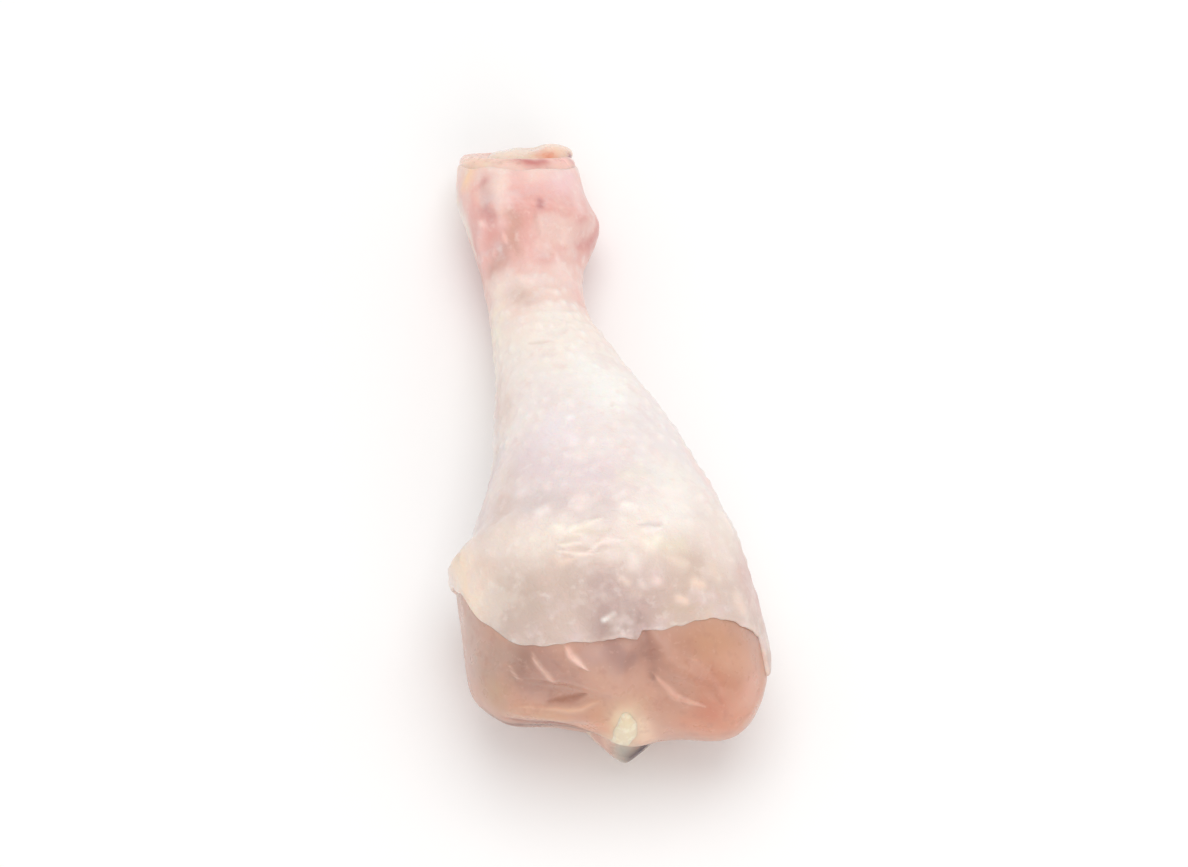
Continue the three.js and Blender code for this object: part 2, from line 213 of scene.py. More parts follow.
def make_piece(name, points, tint, tube=False):
    """A closed, smooth mesh from a grid of points, with rows lengthwise and columns round the leg. Each
    row closes on itself. A tube's last row joins its first, and otherwise the first and last rows have
    shrunk to a point, which becomes one vertex with a fan. The tint is kept as a colour at each vertex."""
    rows, columns = points.shape[:2]
    corners = np.arange(rows * columns).reshape(rows, columns)
    if tube:
        corners = np.vstack([corners, corners[:1]])
    else:
        corners[0], corners[-1] = corners[0, 0], corners[-1, 0]
    corners = np.hstack([corners, corners[:, :1]])
    quads = np.stack([corners[:-1, :-1], corners[1:, :-1], corners[1:, 1:], corners[:-1, 1:]], axis=-1)
    used, flat = np.unique(quads, return_inverse=True)
    quads = flat.reshape(quads.shape)
    if tube:
        faces = quads.reshape(-1, 4).tolist()
    else:
        faces = (quads[1:-1].reshape(-1, 4).tolist() + quads[0][:, [0, 1, 2]].tolist()
                 + quads[-1][:, [0, 1, 3]].tolist())
    mesh = bpy.data.meshes.new(name)
    mesh.from_pydata(((points - LEG_MIDDLE) / MM_PER_METRE).reshape(-1, 3)[used], [], faces)
    mesh.shade_smooth()
    colours = mesh.attributes.new("tint", "FLOAT_COLOR", "POINT")
    rgba = np.ones((len(used), 4))
    rgba[:, :3] = tint.reshape(-1, 3)[used]
    colours.data.foreach_set("color", rgba.ravel())
    piece = bpy.data.objects.new(name, mesh)
    bpy.context.scene.collection.objects.link(piece)
    return piece


def shader_node(material, kind, sockets, **settings):
    """Adds a node to a material. A socket is linked if it is given another's output, and otherwise set."""
    made = material.node_tree.nodes.new(kind)
    for setting, value in settings.items():
        setattr(made, setting, value)
    for key, value in sockets.items():
        if isinstance(value, bpy.types.NodeSocket):
            material.node_tree.links.new(value, made.inputs[key])
        else:
            made.inputs[key].default_value = value
    return made


def noise_between(material, place, size, low, high):
    """A noise of one size in millimetres, spread from 0 to 1 between two of its levels."""
    pattern = shader_node(material, "ShaderNodeTexNoise",
                          {"Vector": place, "Scale": MM_PER_METRE / size, "Detail": 3, "Roughness": 0.55})
    spread = shader_node(material, "ShaderNodeMapRange",
                         {"Value": pattern.outputs["Fac"], "From Min": low, "From Max": high},
                         interpolation_type="SMOOTHSTEP")
    return spread.outputs["Result"]


CRACK_WIDTH, CRACK_UNEVENNESS = 0.25, 0.9
WET_PATCHES = (5, 0.35, 0.65)  # their size, and the levels of noise between which the tissue goes dry
FILM_ROUGHNESS = 0.18
TISSUE_IOR = 1.4


def moist_tissue(name, mottles, grains, gloss, soak):
    """The material of a moist tissue. Its colour is the piece's own tint, with soft mottles of other
    colours over it. Its relief is a stack of grains: noise, or a net of fine cracks. Its film of water is a
    clear coat, and light soaks in and scatters."""
    material = bpy.data.materials.new(name)
    material.use_nodes = True
    surface = material.node_tree.nodes["Principled BSDF"]
    place = shader_node(material, "ShaderNodeTexCoord", {}).outputs["Object"]
    colour = shader_node(material, "ShaderNodeAttribute", {}, attribute_name="tint").outputs["Color"]
    for size, shade, cover, low, high in mottles:
        share = shader_node(material, "ShaderNodeMath",
                            {0: noise_between(material, place, size, low, high), 1: cover},
                            operation="MULTIPLY").outputs[0]
        colour = shader_node(material, "ShaderNodeMix", {0: share, 6: colour, 7: (*linear(shade), 1)},
                             data_type="RGBA").outputs[2]
    relief = None
    for kind, size, height, stretch in grains:
        turned = shader_node(material, "ShaderNodeMapping", {"Vector": place, "Scale": stretch}).outputs[0]
        scale = MM_PER_METRE / size
        if kind == "cracks":
            pattern = shader_node(material, "ShaderNodeTexVoronoi",
                                  {"Vector": turned, "Scale": scale, "Randomness": CRACK_UNEVENNESS},
                                  feature="DISTANCE_TO_EDGE").outputs["Distance"]
            level = shader_node(material, "ShaderNodeMapRange", {"Value": pattern, "From Max": CRACK_WIDTH},
                                interpolation_type="SMOOTHSTEP").outputs["Result"]
        else:
            level = shader_node(material, "ShaderNodeTexNoise",
                                {"Vector": turned, "Scale": scale, "Detail": 2}).outputs["Fac"]
        sockets = {"Height": level, "Distance": height / MM_PER_METRE, "Strength": 1.0}
        if relief:
            sockets["Normal"] = relief
        relief = shader_node(material, "ShaderNodeBump", sockets).outputs["Normal"]
    roughness = shader_node(material, "ShaderNodeMapRange",
                            {"Value": noise_between(material, place, *WET_PATCHES),
                             "To Min": gloss["wet"], "To Max": gloss["dry"]}).outputs["Result"]
    for socket, output in (("Base Color", colour), ("Normal", relief), ("Roughness", roughness)):
        material.node_tree.links.new(output, surface.inputs[socket])
    values = {"Coat Weight": gloss["film"], "Coat Roughness": FILM_ROUGHNESS, "IOR": TISSUE_IOR,
              "Subsurface Weight": soak["share"], "Subsurface Radius": soak["reach"],
              "Subsurface Scale": 1 / MM_PER_METRE}
    for socket, value in values.items():
        surface.inputs[socket].default_value = value
    return material


def bone_points():
    """Points of the bone: ovals round its middle line, narrowed by the domes, with the knuckles pushed
    out as flat-topped curves across the ankle end, and slight waves all over."""
    along = domed_rows(BONE_KNEE_DOME, BONE_ANKLE_DOME, BONE_ROWS)
    angle = np.linspace(0, 2 * np.pi, BONE_COLUMNS, endpoint=False)
    along, angle = np.meshgrid(along, angle, indexing="ij")
    middle_right, middle_up, half_width, half_height = (
        curve_through(BONE_SECTIONS[:, 0], BONE_SECTIONS[:, column], along) for column in range(1, 5))
    radius = (superellipse_radius(angle, half_width, half_height, 2)
              * dome_share(along - BONE_KNEE_DOME["tip"], BONE_KNEE_DOME)
              * dome_share(BONE_ANKLE_DOME["tip"] - along, BONE_ANKLE_DOME))
    right = middle_right + radius * np.cos(angle)
    up = middle_up + radius * np.sin(angle)
    knuckles = sum(out * np.exp(-(np.abs(right - where) / half) ** KNUCKLE_FLATNESS)
                   for where, half, out in ANKLE_KNUCKLES)
    along = along + knuckles * fade(*ANKLE_SLANT_FADES, along) + ankle_slant(along, right, up)
    points = np.stack([right, along, up], axis=-1)
    return wandered(points, **BONE_WAVES)


points = bone_points()
tint = np.broadcast_to(linear(CARTILAGE_TINT), points.shape)
for path, reach, colour, cover in CARTILAGE_SPOTS:
    tint = laid_over(tint, colour, cover * nearness(points, path, reach))
shin_bone = make_piece("shin_bone", points, tint)
shin_bone.data.materials.append(moist_tissue(
    "cartilage",
    mottles=[(3.0, (246, 224, 204), 0.3, 0.45, 0.65), (1.2, (214, 150, 124), 0.2, 0.55, 0.7)],
    grains=[("noise", 0.8, 0.06, (1, 1, 1)), ("noise", 0.25, 0.02, (1, 1, 1))],
    gloss={"wet": 0.22, "dry": 0.4, "film": 0.5},
    soak={"share": 0.5, "reach": (2.0, 1.2, 0.8)}))
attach(shin_bone, "root")
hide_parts("bone")


# ---- Ligament ----
# The stump of the yellow ligament that ran from the kneecap to the shin's crest. It is a fibrous upright
# pad sunk in the muscle over the crest, fuller at its cut lower end.
LIGAMENT_MIDDLE = np.array([-1.9, 3.4, 21.0])
LIGAMENT_HALF = np.array([3.1, 2.5, 7.0])
LIGAMENT_FULLNESS = 0.22  # how much wider the lower end is than the middle
LIGAMENT_LEAN = 0.06  # how far its top leans into the muscle, for each mm up
LIGAMENT_ROWS, LIGAMENT_COLUMNS = 64, 72
LIGAMENT_FIBRES = [(0.16, 0.9, (1, 1, 0.15), 21), (0.25, 3.0, 1, 22)]  # as waves takes them
LIGAMENT_CORE = [(-2.2, 1.6, 25.6), (-2.2, 0.8, 22.0), (-1.9, 0.4, 16.0)]
LIGAMENT_CORE_REACH = 3.2
LIGAMENT_TINT = (227, 211, 182)
LIGAMENT_CUT_TINT, LIGAMENT_CUT_COVER = (252, 246, 228), 0.9  # its cut lower end
LIGAMENT_CUT_FADES = (14.6, 17.2)  # up
GRISTLE_TINT = (228, 200, 170)  # its edges, grown into the muscle


def waves(points, layers):
    """A sum of noises. Each has a height, a size, a factor on the points that draws it out, and a seed."""
    return sum(height * noise(points * factor, size, seed) for height, size, factor, seed in layers)


def ligament_points():
    """Points of the pad: an ellipsoid with its poles towards the knee and the ankle, widened towards its
    lower end and leaning back, with upright fibres as fine waves across it."""
    turn, angle = np.meshgrid(np.linspace(0, np.pi, LIGAMENT_ROWS),
                              np.linspace(0, 2 * np.pi, LIGAMENT_COLUMNS, endpoint=False), indexing="ij")
    ball = np.stack([np.sin(turn) * np.cos(angle), -np.cos(turn), np.sin(turn) * np.sin(angle)], axis=-1)
    ball[..., 0] *= 1 - LIGAMENT_FULLNESS * ball[..., 2]
    points = LIGAMENT_MIDDLE + LIGAMENT_HALF * ball
    points[..., 1] += LIGAMENT_LEAN * (points[..., 2] - LIGAMENT_MIDDLE[2])
    return points + ball * waves(points, LIGAMENT_FIBRES)[..., None]


points = ligament_points()
tint = np.broadcast_to(linear(GRISTLE_TINT), points.shape)
tint = laid_over(tint, LIGAMENT_TINT, nearness(points, LIGAMENT_CORE, LIGAMENT_CORE_REACH))
at_cut = 1 - fade(*LIGAMENT_CUT_FADES, points[..., 2])
tint = laid_over(tint, LIGAMENT_CUT_TINT, LIGAMENT_CUT_COVER * at_cut)
ligament = make_piece("knee_ligament", points, tint)
ligament.data.materials.append(moist_tissue(
    "ligament",
    mottles=[(1.6, (246, 240, 214), 0.5, 0.45, 0.65)],
    grains=[("noise", 0.5, 0.06, (1, 1, 0.2)), ("noise", 0.2, 0.02, (1, 1, 1))],
    gloss={"wet": 0.28, "dry": 0.45, "film": 0.4},
    soak={"share": 0.5, "reach": (1.6, 1.2, 0.6)}))
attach(ligament, "root")
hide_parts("ligament")


# ---- Muscle ----
# The raw calf muscles round the bone, grown together into one mass. They show bare at the knee, where the
# skin is cut back, as lobes and folds under strands of white fascia, and as a ring in the cut ankle. The
# whole leg's form is worked out here, and the muscle lies just over a skin's thickness below it.
LEG_SECTIONS = np.array([
    # along, left, right, top, underside, how high up it is widest as a share of its height
    [0, -28.0, 26.5, 37.5, 2.0, 0.5],  # knee face
    [12, -30.2, 26.9, 41.0, 0.2, 0.47],
    [24, -30.4, 26.5, 44.5, -0.8, 0.445],  # belly
    [34, -29.8, 25.2, 45.3, -1.0, 0.45],
    [38.6, -29.0, 24.3, 44.9, -0.9, 0.45],  # flap's shelf
    [41, -26.0, 23.7, 44.3, -0.9, 0.45],
    [46, -24.0, 22.3, 42.6, -0.6, 0.45],  # calf
    [56, -19.5, 18.6, 39.6, -0.2, 0.46],
    [68, -16.6, 13.7, 34.2, 1.0, 0.47],
    [80, -14.6, 8.4, 28.0, 2.4, 0.48],  # neck
    [92, -13.7, 4.8, 22.2, 3.2, 0.5],
    [101, -13.8, 5.8, 20.6, 2.4, 0.5],  # waist
    [110, -15.2, 10.3, 22.8, 0.4, 0.5],  # ankle knuckle
    [118, -16.2, 8.9, 24.4, -0.5, 0.5],
    [130, -14.2, 7.4, 21.5, 2.5, 0.52],  # ankle end
])
LEG_SQUARENESS = 2.15
KNEE_DOME = {"tip": 3, "length": 13, "squareness": 2.5}
ANKLE_DOME = {"tip": 130.4, "length": 3.8, "squareness": 2.2}
KNEE_TURN, KNEE_TURN_FADES = -0.09, (8, 40)  # the knee face's turn: mm along for each mm to the right
KNEE_RELIEF_FADES = (7, 22)
SKIN_THICKNESS, LAYER_GAP = 1.2, 0.4
MUSCLE_DEPTH = SKIN_THICKNESS + LAYER_GAP
GROWN_TOGETHER = 0.25  # mm of the gap that the muscle fills
MUSCLE_ROWS = {"knee": 130, "body": 110, "ankle": 24}
LEG_COLUMNS = 320
SLOPE_STEP = 0.02  # the step that measures a slope, in mm along and in radians round

# The skin's cut edge at the knee: how far along it lies at each angle in degrees, with a small tooth at 80
KNEE_CUT = np.array([
    [0, 15.8], [5, 13.6], [9, 12.3], [12, 13.4], [15, 16.6], [19, 17.2], [26, 17.0], [35, 17.0], [44, 17.0],
    [53, 16.0], [62, 14.9], [71, 13.9], [76, 13.6], [78.6, 13.2], [80.2, 11.9], [82.5, 12.0], [86, 12.6],
    [93, 12.9], [98, 12.8], [106, 12.5], [118, 13.0], [128, 13.4], [137, 14.8], [144, 18.5], [152, 23.5],
    [158, 28.8], [166, 32], [200, 37], [262, 29], [318, 22], [344, 18.6],
])
CUT_NICKS = [(0.35, 2.8, 1, 51), (0.14, 1.1, 1, 52)]  # as waves takes them
NICKS_CIRCLE = 24  # radius of the circle on which the edges' nicks are laid out
CUT_RISE, CUT_REACH = 0.35, 3.0  # near this edge the muscle rises into it

MUSCLE_RIPPLES = [(0.25, 5.5, 1, 31), (0.02, 1.6, (1, 0.3, 1), 32)]  # swellings, and faint fibres
BARE_FADES = (26, 36)  # they are only where the muscle is bare
MUSCLE_WANDER = {"size": 3.0, "distance": 0.35, "seed": 33}  # of its marks' outlines

# Lobes (out) and folds (in) of the knee's muscle: right, up, half-width, half-height, out
KNEE_LOBES = [
    (18, 20, 11, 16, 5.4),  # right calf lobe
    (-25, 18, 7, 12, 1.9),  # left lobe's corner
    (-4, 34, 5, 7, 1.4),  # middle ridge
    (2.8, 36.5, 2.8, 5.5, -2.0),  # fold beside the right lobe
    (6.6, 32, 4, 3, -1.4),
    (-14.5, 30.4, 8, 2.2, -1.8),  # hollow over the lip
    (-13, 25.4, 12, 3.4, 1.4),  # lip
    (-13, 11, 9, 6, -1.5),  # undercut below the lip
    (-1.6, 17, 7, 8, 3.4),  # swelling over the crest
]

# Patches of colour on the bare muscle: path, reach, out, colour, cover
MUSCLE_PATCHES = [
    ([(-27.2, 17.1, 27.4), (-27.2, 21.7, 28.2), (-27.6, 25.2, 27.2)], 5.0, 0, (204, 176, 164), 0.8),
    ([(-24.9, 14.8, 30.1), (-22.7, 16.0, 33.1), (-20.3, 14.6, 34.3)], 3.6, 0, (188, 158, 144), 0.8),
    ([(-15.1, 12.3, 35.4), (-12.6, 10.3, 34.4), (-17.8, 10.2, 29.2)], 3.6, 0, (180, 141, 129), 0.85),
    ([(-5.0, 8.4, 36.0), (-4.0, 7.7, 35.3), (-4.5, 6.6, 32.0)], 3.4, 0, (212, 168, 148), 0.85),  # ridge
    ([(-2.8, 11.7, 38.6), (-1.3, 10.0, 37.3), (1.8, 11.3, 37.1)], 3.0, 0, (167, 128, 118), 0.9),
    ([(10.5, 7.5, 34.7), (9.6, 9.6, 36.4), (7.5, 7.5, 34.0)], 3.8, 0, (183, 133, 116), 0.9),
    ([(12.5, 10.1, 36.3), (15.6, 12.0, 35.7), (17.3, 10.1, 34.1)], 4.6, 0, (201, 152, 123), 0.95),
    ([(17.1, 4.2, 30.1), (14.1, 5.1, 32.0), (14.0, 3.0, 29.4)], 4.6, 0, (198, 140, 115), 0.85),
    ([(12.9, 1.3, 26.0), (15.3, 1.4, 26.6), (11.5, 1.0, 23.9)], 3.6, 0, (203, 129, 106), 0.8),  # reddest
    ([(18.9, 1.6, 25.3), (20.6, 3.3, 26.1)], 3.0, 0, (214, 151, 127), 0.8),
    # to the left and right of the ligament
    ([(-2.2, 4.5, 28.4), (-3.8, 3.4, 24.0), (-4.2, 3.0, 19.0)], 2.0, 0.25, (226, 188, 158), 0.85),
    ([(0.6, 2.9, 25.4), (1.4, 2.1, 22.6), (1.8, 2.2, 19.0)], 2.3, 0.25, (236, 202, 178), 0.9),
    ([(22.3, 6.3, 27.1), (20.8, 3.2, 25.7)], 3.2, 0, (218, 170, 152), 0.85),
    ([(24.0, 14.2, 26.6), (23.3, 15.6, 28.3)], 2.6, 0, (190, 150, 138), 0.85),
    ([(0.7, 5.2, 29.5), (4.5, 4.5, 28.3), (6.1, 2.9, 25.7)], 3.8, 0, (206, 158, 136), 0.85),
    ([(9.8, 1.3, 23.3), (13.0, 0.3, 22.5), (18.9, 0.8, 23.2)], 3.4, 0, (212, 151, 125), 0.85),
    ([(-25.6, 10.9, 25.6), (-24.5, 11.6, 27.9)], 2.8, 0.3, (198, 164, 140), 0.85),  # fat
    ([(-26.4, 10.7, 22.8), (-25.1, 9.2, 23.7), (-23.2, 7.7, 24.4)], 2.2, 0, (200, 160, 138), 0.85),
    ([(-20.6, 7.0, 25.3), (-17.1, 6.2, 25.5), (-13.5, 5.3, 24.6)], 2.4, 0.2, (208, 166, 140), 0.9),  # lip
    ([(-6.0, 5.4, 28.5), (-7.1, 4.5, 26.7)], 2.4, 0, (206, 157, 131), 0.85),
    ([(-1.8, 5.2, 30.7), (-3.3, 4.8, 29.2), (0.6, 4.4, 28.2)], 1.8, 0, (206, 160, 136), 0.85),
    ([(-2.0, 4.0, 27.0), (-2.2, 3.2, 25.0), (-2.0, 2.4, 18.0)], 2.8, 0, (231, 206, 176), 0.85),
    # The next patch is painted shade, not a bruise: the dark hollow beside the crest's right flank, under
    # the right lobe.
    ([(0.6, 4.7, 9.5), (3.4, 3.6, 10.0), (5.4, 4.0, 10.5)], 2.4, 0, (96, 68, 72), 0.95),  # bruise
    ([(-6.3, 6.7, 32.1)], 2.2, 0, (203, 153, 131), 0.7),
    ([(-6.7, 11.9, 38.2)], 2.0, 0, (195, 162, 156), 0.7),
    ([(7.8, 5.2, 29.8), (6.4, 4.4, 28.4)], 2.4, 0, (198, 148, 128), 0.7),
    ([(10.6, 9.9, 36.6)], 2.2, 0, (188, 138, 118), 0.7),
    ([(14.5, 5.3, 32.1)], 2.6, 0, (196, 134, 108), 0.7),
    ([(-8.2, 4.4, 21.0), (-6.4, 3.8, 22.6)], 2.4, 0, (220, 154, 118), 0.95),
    ([(-20.6, 12.2, 31.0), (-19.3, 12.6, 33.2), (-18.3, 14.6, 35.5)], 2.2, 0, (164, 126, 112), 0.75),
    ([(18.0, 8.6, 33.0), (20.4, 8.9, 31.1)], 2.8, 0, (213, 163, 139), 0.8),
    # The next patch is painted shade: the dark underside of the muscle below the lip, turned away from the
    # light.
    ([(-24.0, 10.4, 15.6), (-20.4, 8.6, 16.4), (-15.6, 7.3, 15.8), (-10.0, 5.9, 15.0), (-7.0, 5.0, 12.6)],
     2.8, -0.5, (104, 58, 46), 0.95),  # below the lip
]
# Strands of fascia that stand out, and creases between the muscles, in the same terms. The creases' dark
# colours are painted shade in the folds
MUSCLE_LINES = [
    ([(-11.2, 14.6, 38.8), (-10.4, 12.4, 37.5), (-9.2, 11.2, 36.9), (-7.6, 9.8, 36.0)], 0.75, 0.3,
     (244, 206, 192), 0.95),
    ([(-17.3, 15.8, 36.9), (-16.7, 13.2, 35.5), (-15.3, 11.0, 34.0), (-13.6, 9.8, 31.6),
      (-12.4, 9.0, 30.2)], 0.5, 0.22, (226, 190, 174), 0.9),
    ([(-21.5, 14.2, 33.1), (-20.9, 12.6, 32.1), (-19.9, 11.1, 30.1)], 0.4, 0.15, (214, 180, 164), 0.8),
    ([(-21.8, 12.8, 31.7), (-21.6, 11.6, 30.1), (-20.9, 10.4, 28.8)], 0.45, 0.15, (206, 170, 148), 0.8),
    ([(-18.6, 13.4, 34.6), (-17.2, 11.4, 31.6)], 0.4, 0.1, (206, 168, 152), 0.7),
    ([(4.0, 8.6, 33.4), (5.5, 7.0, 31.4), (7.0, 5.3, 29.5), (8.9, 4.1, 28.9), (12.8, 2.3, 28.0)], 0.8, 0.3,
     (224, 176, 156), 0.9),
    ([(-22.6, 8.8, 26.4), (-15.7, 6.9, 26.8), (-12.3, 6.1, 27.0), (-9.6, 5.7, 27.3), (-7.7, 6.1, 28.4),
      (-4.9, 6.0, 30.3)], 0.65, 0.25, (219, 177, 152), 0.9),  # lit edge of the lip
    ([(-16.4, 8.2, 27.8), (-12.6, 8.0, 28.1), (-10.5, 7.8, 28.8), (-7.7, 7.6, 30.4)], 0.9, -0.35,
     (176, 122, 100), 0.9),
    ([(2.9, 15.3, 40.2), (4.1, 11.3, 37.2), (4.0, 9.8, 35.2), (3.9, 7.6, 31.8)], 1.9, -0.25,
     (168, 122, 107), 0.85),
    ([(-25.0, 8.6, 22.0), (-19.1, 6.6, 20.6), (-15.2, 6.4, 19.8), (-9.5, 5.2, 18.6)], 1.3, -0.3,
     (138, 80, 66), 0.95),
    ([(-14.0, 12.6, 36.6), (-12.0, 10.0, 34.6)], 0.6, -0.15, (176, 134, 120), 0.7),
    ([(10.0, 9.0, 36.0), (13.0, 5.6, 32.0), (16.0, 2.0, 28.0)], 1.4, -0.2, (192, 134, 112), 0.5),
]
# Patches of the cut ankle's ring, in the same terms. They are colour alone.
ANKLE_RING_PATCHES = [
    ([(-13.4, 124.4, 16.6), (-9.0, 123.0, 19.6)], 4.2, 0, (251, 216, 196), 0.95),  # peach left part
    ([(-4.6, 122.8, 20.2), (-3.4, 121.8, 20.9), (-2.2, 120.6, 21.4), (-0.6, 120.2, 21.3),
      (0.9, 120.8, 20.6)], 1.4, 0, (184, 10, 32), 1),  # blood-stained streak
    ([(-8.0, 121.9, 20.7), (-6.6, 121.5, 21.0)], 1.4, 0, (252, 219, 209), 0.95),
    ([(3.6, 122.0, 18.4), (6.0, 122.6, 16.0)], 2.0, 0, (246, 182, 171), 0.9),
    ([(6.7, 122.6, 15.4)], 1.2, 0, (140, 34, 84), 1),
    ([(-7.0, 125.0, 2.0), (3.0, 127.0, 3.0)], 3.0, 0, (226, 158, 142), 0.8),
]
MUSCLE_TINT = (200, 156, 138)
ANKLE_RING_TINT, ANKLE_RING_TINT_FADES = (247, 208, 196), (112, 120)
# Past the skin's end the ring of tissue rises almost level with it, and sinks again round the bone's end
ANKLE_RING_RISE, ANKLE_RING_FADES = 1.1, (124.0, 126.0)
ANKLE_FACE_SINK, ANKLE_FACE_FADES = 1.9, (128.2, 129.8)


def leg_form(angle, along):
    """Points of the leg's outer form. Each section is a superellipse in two halves, above and below where
    it is widest, narrowed by the domes at both ends. The knee's lobes push points towards the knee as bell
    curves, the knee face is turned and the ankle's cut is slanted."""
    left, right_edge, top, underside, widest = (
        curve_through(LEG_SECTIONS[:, 0], LEG_SECTIONS[:, column], along) for column in range(1, 6))
    waistline = underside + (top - underside) * widest
    half_height = np.where(np.sin(angle) > 0, top - waistline, waistline - underside)
    radius = (superellipse_radius(angle, (right_edge - left) / 2, half_height, LEG_SQUARENESS)
              * dome_share(along - KNEE_DOME["tip"], KNEE_DOME)
              * dome_share(ANKLE_DOME["tip"] - along, ANKLE_DOME))
    right = (left + right_edge) / 2 + radius * np.cos(angle)
    up = waistline + radius * np.sin(angle)
    lobes = sum(out * np.exp(-((right - x) / half_x) ** 2 - ((up - z) / half_z) ** 2)
                for x, z, half_x, half_z, out in KNEE_LOBES)
    turned = KNEE_TURN * right * (1 - fade(*KNEE_TURN_FADES, along))
    stood_out = lobes * (1 - fade(*KNEE_RELIEF_FADES, along))
    return np.stack([right, along + turned - stood_out + ankle_slant(along, right, up), up], axis=-1)


def leg_outward(angle, along):
    """The direction straight out of the leg's form: the cross product of its two slopes, except at the
    domes' tips, where it is that of the end itself."""
    lengthwise = leg_form(angle, along + SLOPE_STEP) - leg_form(angle, along - SLOPE_STEP)
    round_leg = leg_form(angle + SLOPE_STEP, along) - leg_form(angle - SLOPE_STEP, along)
    outward = np.cross(lengthwise, round_leg)
    outward[along <= KNEE_DOME["tip"]] = (0, -1, 0)
    outward[along >= ANKLE_DOME["tip"]] = (-ANKLE_SLANT_RIGHT, 1, -ANKLE_SLANT_UP)
    return outward / np.linalg.norm(outward, axis=-1, keepdims=True)


def circle_of_nicks(angle):
    """Points of a circle at each angle, so that the nicks of an edge join up after a full turn."""
    return np.stack([np.cos(angle), np.sin(angle), np.zeros(angle.shape)], axis=-1) * NICKS_CIRCLE


def knee_cut(angle):
    """How far along the skin's cut edge at the knee lies at each angle: a smooth curve with nicks."""
    stations = np.concatenate([KNEE_CUT[:, 0] - 360, KNEE_CUT[:, 0], KNEE_CUT[:, 0] + 360])
    cut = curve_through(stations, np.tile(KNEE_CUT[:, 1], 3), np.degrees(angle))
    return cut + waves(circle_of_nicks(angle), CUT_NICKS)


def marks_relief(places, marks, tapered=False):
    """How far marks together move each point out: the sum of how near it lies to each, times its out."""
    return sum(out * nearness(places, path, reach, tapered) for path, reach, out, _, _ in marks)


def with_marks(tint, places, marks, tapered=False):
    """The tint with the colours of marks laid over it, one after another."""
    for path, reach, _, colour, cover in marks:
        tint = laid_over(tint, colour, cover * nearness(places, path, reach, tapered))
    return tint


def muscle_points():
    """Points of the muscle, just over a skin's thickness below the leg's form, the ones that its marks go
    by, and how far along each is. Its relief is its patches and lines, swellings and faint lengthwise
    fibres where it is bare, the ankle's ring, and a bell curve that rises to the skin's cut edge."""
    along = domed_rows(KNEE_DOME, ANKLE_DOME, MUSCLE_ROWS)
    angle = np.linspace(0, 2 * np.pi, LEG_COLUMNS, endpoint=False)
    along, angle = np.meshgrid(along, angle, indexing="ij")
    outward = leg_outward(angle, along)
    smooth = leg_form(angle, along) - MUSCLE_DEPTH * outward
    places = wandered(smooth, **MUSCLE_WANDER)
    relief = marks_relief(places, MUSCLE_PATCHES) + marks_relief(places, MUSCLE_LINES, tapered=True)
    bare = 1 - fade(*BARE_FADES, along)
    ripples = waves(smooth, MUSCLE_RIPPLES)
    ring = (ANKLE_RING_RISE * fade(*ANKLE_RING_FADES, along)
            - ANKLE_FACE_SINK * fade(*ANKLE_FACE_FADES, along))
    at_cut = CUT_RISE * np.exp(-((along - knee_cut(angle)) / CUT_REACH) ** 2)
    points = smooth + (GROWN_TOGETHER + relief + ripples * bare + ring + at_cut)[..., None] * outward
    points[0], points[-1] = points[0, 0], points[-1, 0]
    points[..., 2] = np.maximum(points[..., 2], MUSCLE_DEPTH)
    return points, places, along


points, places, along = muscle_points()
tint = laid_over(linear(MUSCLE_TINT), ANKLE_RING_TINT, fade(*ANKLE_RING_TINT_FADES, along))
tint = with_marks(tint, places, MUSCLE_PATCHES + ANKLE_RING_PATCHES)
tint = with_marks(tint, places, MUSCLE_LINES, tapered=True)
muscle = make_piece("calf_muscle", points, tint)
muscle.data.materials.append(moist_tissue(
    "raw_muscle",
    mottles=[(6.0, (216, 166, 144), 0.3, 0.45, 0.68), (2.4, (178, 126, 112), 0.25, 0.5, 0.7),
             (1.1, (226, 186, 168), 0.18, 0.58, 0.72)],
    grains=[("noise", 1.6, 0.02, (1, 0.4, 1)), ("noise", 0.5, 0.004, (1, 0.4, 1))],
    gloss={"wet": 0.26, "dry": 0.42, "film": 0.3},
    soak={"share": 0.45, "reach": (2.0, 0.9, 0.6)}))
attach(muscle, "root")
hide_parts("muscle")


# ---- Skin ----
# The pale skin is a loose sleeve over the muscle, cut off at the knee in an uneven line and at the ankle
# with the joint. It has rows of goose bumps where the feathers grew, a few wrinkles, and rounded cut edges.
SKIN_ROWS = {"outside": 250, "edge": 7, "inside": 20}
SKIN_ROW_CROWDING = 0.45  # how much closer the rows are at the knee than halfway
SKIN_COLUMNS = 330
SKIN_ANKLE_END = 126.2
ANKLE_NICKS = [(0.5, 7, 1, 53)]  # as waves takes them
SKIN_WAVES = [(0.42, 11, 1, 56), (0.2, 4.5, 1, 57), (0.07, 1.7, 1, 58)]
SKIN_WANDER = {"size": 2.2, "distance": 0.4, "seed": 61}  # of its marks' outlines

# The knee's cut edge is thin and clings to the muscle
EDGE_SINK, EDGE_THINNING, EDGE_LENGTH = 0.15, 0.4, 5
EDGE_WAVES = [(0.12, 6, 1, 54)]

# The relief is fainter at the ankle's edge: the share that is lost, and where
ANKLE_RELIEF_LOST, ANKLE_RELIEF_FADES = 0.6, (120, 125)

FAT_TINT, FAT_COVER = (242, 214, 196), 0.8  # under the skin

# Tints along the leg, from the knee's cut to the ankle's. The darker rows near the knee's cut are partly
# painted shade, where the skin turns down towards the knee
SKIN_TINTS = np.array([
    # along, red, green, blue
    [12, 212, 189, 180],
    [20, 215, 194, 184],
    [26, 225, 205, 194],
    [33, 239, 224, 214],
    [45, 241, 229, 226],
    [58, 242, 230, 228],
    [70, 247, 234, 229],
    [82, 250, 232, 222],
    [92, 243, 212, 201],
    [100, 237, 193, 184],
    [108, 227, 168, 160],
    [114, 238, 186, 179],
    [120, 244, 203, 195],
    [126, 249, 216, 200],
])

